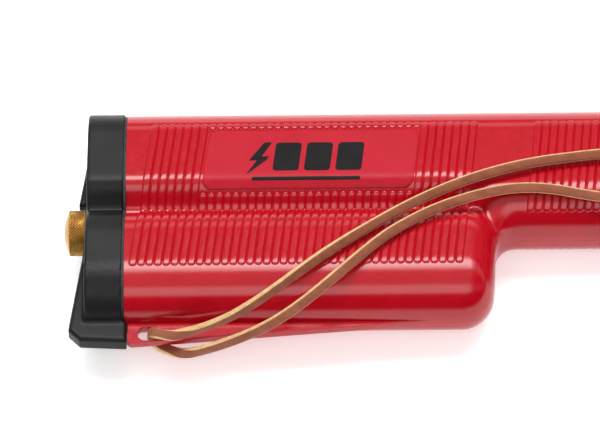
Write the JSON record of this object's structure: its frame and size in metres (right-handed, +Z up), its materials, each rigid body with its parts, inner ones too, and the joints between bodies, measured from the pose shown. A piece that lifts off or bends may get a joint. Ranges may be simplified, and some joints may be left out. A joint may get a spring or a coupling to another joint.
{
  "type": "livestock prod handle",
  "caption": "Ribbed battery case with a grip, end cap held by a thumb screw, trigger, shaft socket and leather wrist lace for a hand-held livestock prod.",
  "frame": {"origin": "bottom centre of the bounding box without the lace, with the object lying on its left broad side", "axes": "+X from the end cap to the shaft socket, +Y to the top edge (the keel is at -Y), +Z up to the right broad side"},
  "size_m": [0.348, 0.1112, 0.045],
  "materials": {
    "case_red": "glossy moulded, ribbed across the broad sides",
    "label_film": "satin film",
    "cap_black": "satin, soft edges",
    "gasket_rubber": "matt",
    "brass": "knurled, slightly dulled",
    "contact_metal": "plain sheet",
    "steel": "zinc plated",
    "core_iron": "varnished laminations",
    "cell_jacket": "printed jacket with a metal end",
    "copper": "enamelled winding wire",
    "dark_plastic": "moulded",
    "pale_plastic": "moulded",
    "board": "solder mask on laminate",
    "capacitor_sleeve": "shrink sleeve",
    "trigger_rubber": "matt with fine ridges",
    "wire_red": "insulated lead",
    "wire_black": "insulated lead",
    "wire_yellow": "insulated lead",
    "wire_white": "insulated lead",
    "leather_lace": "brown matt face with pale cut edges"
  },
  "bodies": {
    "case": {"case_shell_right": "case_red", "case_shell_left": "case_red", "label_plate": "label_film", "screw_insert": "brass", "battery_divider": "dark_plastic", "contact_carrier": "dark_plastic", "front_contact_upper": "contact_metal", "front_contact_lower": "contact_metal", "transformer_core": "core_iron", "transformer_bobbin": "pale_plastic", "transformer_winding": "copper", "circuit_board": "board", "capacitor": "capacitor_sleeve", "power_transistor": "dark_plastic", "trigger_bezel": "cap_black", "trigger_switch": "dark_plastic", "switch_bracket": "steel", "wire_battery_positive": "wire_red", "wire_battery_negative": "wire_black", "wire_switch": "wire_red", "wire_output_a": "wire_yellow", "wire_output_b": "wire_white", "output_contacts": "brass", "shaft_socket": "dark_plastic", "front_ferrule": "cap_black", "lace_upper": "leather_lace", "lace_lower": "leather_lace", "lace_knot": "leather_lace", "battery_1": "cell_jacket", "battery_2": "cell_jacket", "battery_3": "cell_jacket", "battery_4": "cell_jacket", "battery_5": "cell_jacket", "battery_6": "cell_jacket"},
    "cap": {"end_cap": "cap_black", "cap_gasket": "gasket_rubber", "cap_contact_strap": "contact_metal"},
    "screw": {"thumb_screw": "brass", "screw_retaining_ring": "steel"},
    "trigger": {"trigger_button": "trigger_rubber", "trigger_spring": "steel"},
    "nut": {"collar_nut": "cap_black", "seal_ring": "gasket_rubber"}
  },
  "joints": [
    {"name": "cap_slide", "type": "slide", "parent": "case", "child": "cap", "axis": [-1, 0, 0], "range_m": [0, 0.03]},
    {"name": "thumb_screw_turn", "type": "hinge", "parent": "cap", "child": "screw", "pos_m": [-0.165, -0.0001, 0.017], "axis": [-1, 0, 0], "continuous": true},
    {"name": "trigger_press", "type": "slide", "parent": "case", "child": "trigger", "axis": [0, 1, 0], "range_m": [0, 0.003], "stiffness_N_per_m": 900, "springref_m": -0.001},
    {"name": "collar_nut_turn", "type": "hinge", "parent": "case", "child": "nut", "pos_m": [0.16, 0.0235, 0.017], "axis": [1, 0, 0], "continuous": true}
  ]
}
